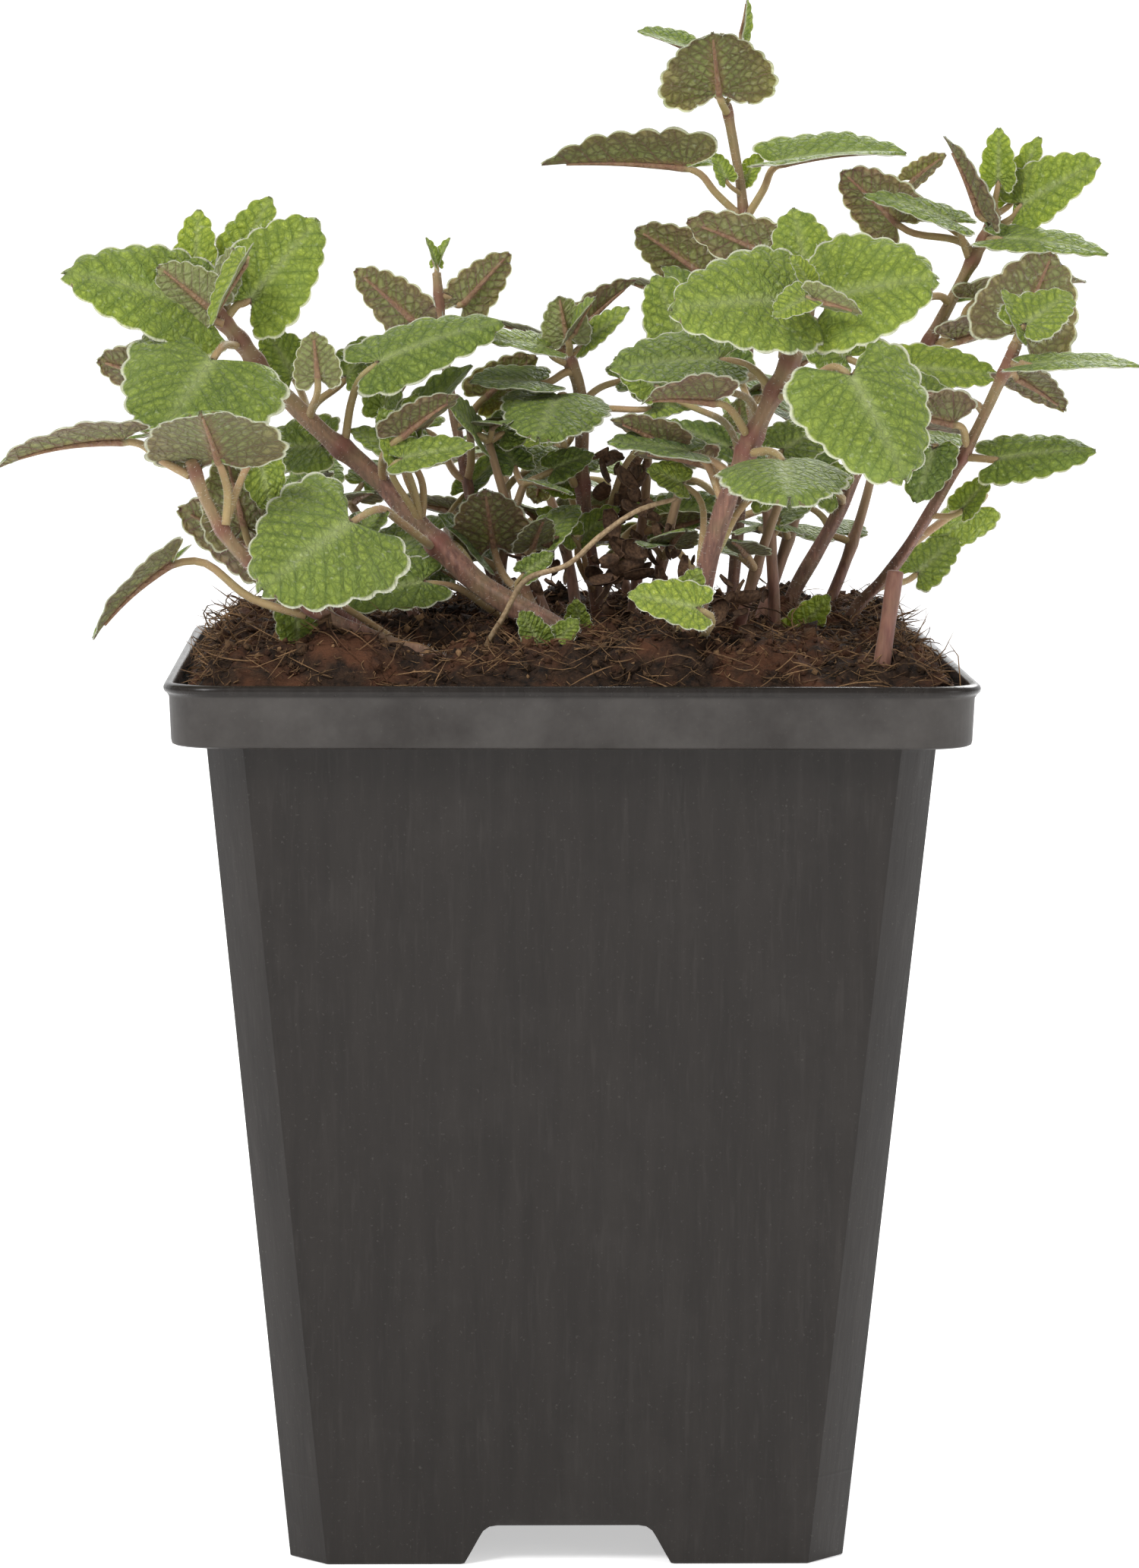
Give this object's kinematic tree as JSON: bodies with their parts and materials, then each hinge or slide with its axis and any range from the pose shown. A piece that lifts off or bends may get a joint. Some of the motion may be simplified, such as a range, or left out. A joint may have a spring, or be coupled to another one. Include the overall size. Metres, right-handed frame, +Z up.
{
  "type": "potted catmint",
  "caption": "Bushy young catmint with scalloped heart-shaped leaves on branching stems, growing from peat in a square tapered nursery pot.",
  "frame": {"origin": "on the ground under the middle of the pot", "axes": "+Z up; the pot's front side looks along -Y, +X to the right of it"},
  "size_m": [0.1275, 0.1005, 0.1735],
  "materials": {
    "pot_plastic": "satin charcoal moulded plastic with faint vertical drawing marks and dusty scuffs",
    "peat": "dark fibrous peat and coir crumbs, matt",
    "stem_skin": "pinkish brown square stems under short white hairs",
    "straw": "dry tan stalk",
    "leaf": "mid green puckered upper side, purple-brown veined underside, downy",
    "young_leaf": "yellow-green soft young leaf, downy"
  },
  "bodies": {
    "root": {"pot": "pot_plastic", "peat": "peat", "stem_left": "stem_skin", "stem_low_left": "stem_skin", "stem_back_left": "stem_skin", "stem_centre": "stem_skin", "stem_front": "stem_skin", "stem_tall": "stem_skin", "stem_right": "stem_skin", "stem_far_right": "stem_skin", "stem_short": "stem_skin", "stem_rear_left": "stem_skin", "stem_rear_right": "stem_skin", "stub_left": "stem_skin", "stub_right": "stem_skin", "dry_stalk": "straw", "leaf_left_big": "leaf", "leaf_left_young": "young_leaf", "leaf_left_upright": "leaf", "leaf_left_fan": "leaf", "leaf_left_heart": "leaf", "leaf_left_purple": "leaf", "leaf_middle_left": "leaf", "leaf_front_heart": "leaf", "leaf_low_tip": "leaf", "leaf_low_cup": "leaf", "leaf_low_brown": "leaf", "leaf_low_side": "leaf", "leaf_back_left": "leaf", "leaf_back_right": "leaf", "leaf_centre_pale": "young_leaf", "leaf_centre_left": "leaf", "leaf_centre_right": "leaf", "leaf_centre_oval": "leaf", "leaf_centre_low": "leaf", "leaf_brown_fan": "leaf", "leaf_low_middle": "leaf", "leaf_crown_left": "leaf", "leaf_crown_back": "leaf", "leaf_crown_right": "leaf", "leaf_crown_purple": "leaf", "leaf_front_magenta": "leaf", "leaf_right_heart": "leaf", "leaf_front_low": "leaf", "leaf_top_fan": "leaf", "leaf_top_left": "leaf", "leaf_top_right": "leaf", "leaf_right_top": "leaf", "leaf_right_inner": "leaf", "leaf_right_flat": "leaf", "leaf_right_purple": "leaf", "leaf_far_fan": "leaf", "leaf_far_flat": "leaf", "leaf_far_purple": "leaf", "leaf_far_low": "leaf", "leaf_rear_left": "leaf", "leaf_rear_middle": "leaf", "leaf_rear_right": "leaf", "leaf_rear_back": "leaf", "leaf_rear_low": "leaf"}
  },
  "joints": []
}
